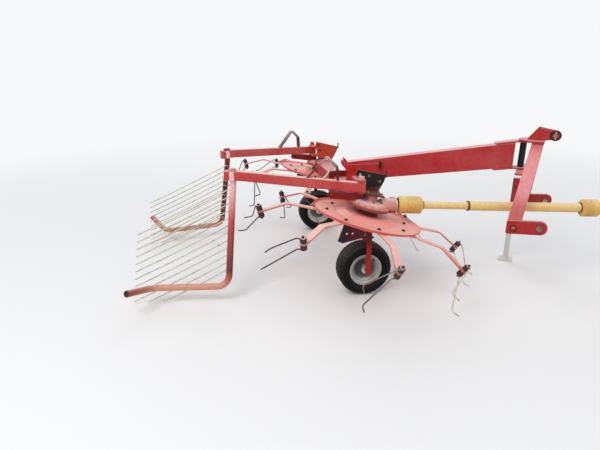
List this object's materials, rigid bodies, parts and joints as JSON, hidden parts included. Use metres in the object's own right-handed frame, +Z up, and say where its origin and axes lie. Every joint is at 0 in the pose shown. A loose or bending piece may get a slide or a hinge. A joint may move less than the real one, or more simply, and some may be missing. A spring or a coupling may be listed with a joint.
{
  "type": "hay tedder",
  "caption": "Carried hay tedder with two tilted tine rotors on small wheels, rear swath gates, a box beam and a swinging three-point headstock.",
  "frame": {"origin": "on the ground under the middle of the machine's bounding box", "axes": "+X is the driving direction, +Y the machine's left, +Z up"},
  "size_m": [3.5003, 3.2312, 1.2053],
  "materials": {
    "red_paint": "worn gloss",
    "faded_paint": "sun-faded satin",
    "spring_steel": "weathered",
    "tyre": "dusty",
    "rim_paint": "satin",
    "black_paint": "satin",
    "bare_steel": "dull",
    "yellow_guard": "matt"
  },
  "bodies": {
    "frame": {"cross_tube": "red_paint", "main_beam": "red_paint", "beam_ears": "red_paint", "beam_rear_plates": "red_paint", "beam_saddle": "red_paint", "near_gearbox": "faded_paint", "far_gearbox": "faded_paint", "near_tower": "red_paint", "far_tower": "red_paint", "near_wheel_leg": "red_paint", "far_wheel_leg": "red_paint", "near_axle": "bare_steel", "far_axle": "bare_steel"},
    "near_rotor": {"near_rotor_disc": "faded_paint", "near_rotor_arms": "faded_paint", "near_rotor_tines": "spring_steel"},
    "far_rotor": {"far_rotor_disc": "faded_paint", "far_rotor_arms": "faded_paint", "far_rotor_tines": "spring_steel"},
    "near_wheel": {"near_tyre": "tyre", "near_rim": "rim_paint"},
    "far_wheel": {"far_tyre": "tyre", "far_rim": "rim_paint"},
    "near_swing_arm": {"near_gate_arm": "red_paint", "near_gate_hoop": "red_paint"},
    "far_swing_arm": {"far_gate_arm": "red_paint", "far_gate_hoop": "red_paint"},
    "near_gate": {"near_gate_tube": "red_paint", "near_gate_tines": "spring_steel"},
    "far_gate": {"far_gate_tube": "red_paint", "far_gate_tines": "spring_steel"},
    "headstock": {"king_pin": "black_paint", "top_bracket": "red_paint", "top_pin": "bare_steel", "headstock_cross_bar": "red_paint", "near_headstock_leg": "red_paint", "far_headstock_leg": "red_paint", "near_lug": "red_paint", "far_lug": "red_paint", "near_lower_pin": "bare_steel", "far_lower_pin": "bare_steel", "stand_sleeve": "red_paint"},
    "stand": {"stand_leg": "bare_steel"},
    "drive_shaft": {"pto_rear_bell": "yellow_guard", "pto_front_bell": "yellow_guard", "pto_rear_yoke": "bare_steel", "pto_inner_guard": "yellow_guard", "pto_outer_guard": "yellow_guard", "pto_front_yoke": "bare_steel"}
  },
  "joints": [
    {"name": "near_rotor_spin", "type": "hinge", "parent": "frame", "child": "near_rotor", "pos_m": [-0.037, -0.745, 0.596], "axis": [0.2419, 0, 0.9703], "continuous": true},
    {"name": "far_rotor_spin", "type": "hinge", "parent": "frame", "child": "far_rotor", "pos_m": [-0.037, 0.745, 0.596], "axis": [0.2419, 0, 0.9703], "continuous": true},
    {"name": "near_wheel_spin", "type": "hinge", "parent": "frame", "child": "near_wheel", "pos_m": [-0.044, -0.745, 0.203], "axis": [0, 1, 0], "continuous": true},
    {"name": "near_arm_swing", "type": "hinge", "parent": "frame", "child": "near_swing_arm", "pos_m": [-0.095, -0.79, 0.835], "axis": [0, 0, 1], "range_deg": [-5, 25]},
    {"name": "near_gate_swivel", "type": "hinge", "parent": "near_swing_arm", "child": "near_gate", "pos_m": [-0.965, -0.443, 0.885], "axis": [0, 0, 1], "range_deg": [-15, 0]},
    {"name": "far_wheel_spin", "type": "hinge", "parent": "frame", "child": "far_wheel", "pos_m": [-0.044, 0.745, 0.203], "axis": [0, 1, 0], "continuous": true},
    {"name": "far_arm_swing", "type": "hinge", "parent": "frame", "child": "far_swing_arm", "pos_m": [-0.095, 0.79, 0.835], "axis": [0, 0, 1], "range_deg": [-25, 5]},
    {"name": "far_gate_swivel", "type": "hinge", "parent": "far_swing_arm", "child": "far_gate", "pos_m": [-0.965, 0.443, 0.885], "axis": [0, 0, 1], "range_deg": [0, 15]},
    {"name": "headstock_swing", "type": "hinge", "parent": "frame", "child": "headstock", "pos_m": [1.157, -0.751, 1], "axis": [0, 0, 1], "range_deg": [-5, 60]},
    {"name": "drive_shaft_yaw", "type": "hinge", "parent": "frame", "child": "drive_shaft", "pos_m": [0.215, -0.745, 0.672], "axis": [0, 0, 1], "range_deg": [-1.5, 16]},
    {"name": "stand_slide", "type": "slide", "parent": "headstock", "child": "stand", "axis": [0, 0, 1], "range_m": [0, 0.28]}
  ],
  "couplings": [
    {"joint": "far_rotor_spin", "follows": "near_rotor_spin", "ratio": -1},
    {"joint": "drive_shaft_yaw", "follows": "headstock_swing", "ratio": 0.26}
  ]
}
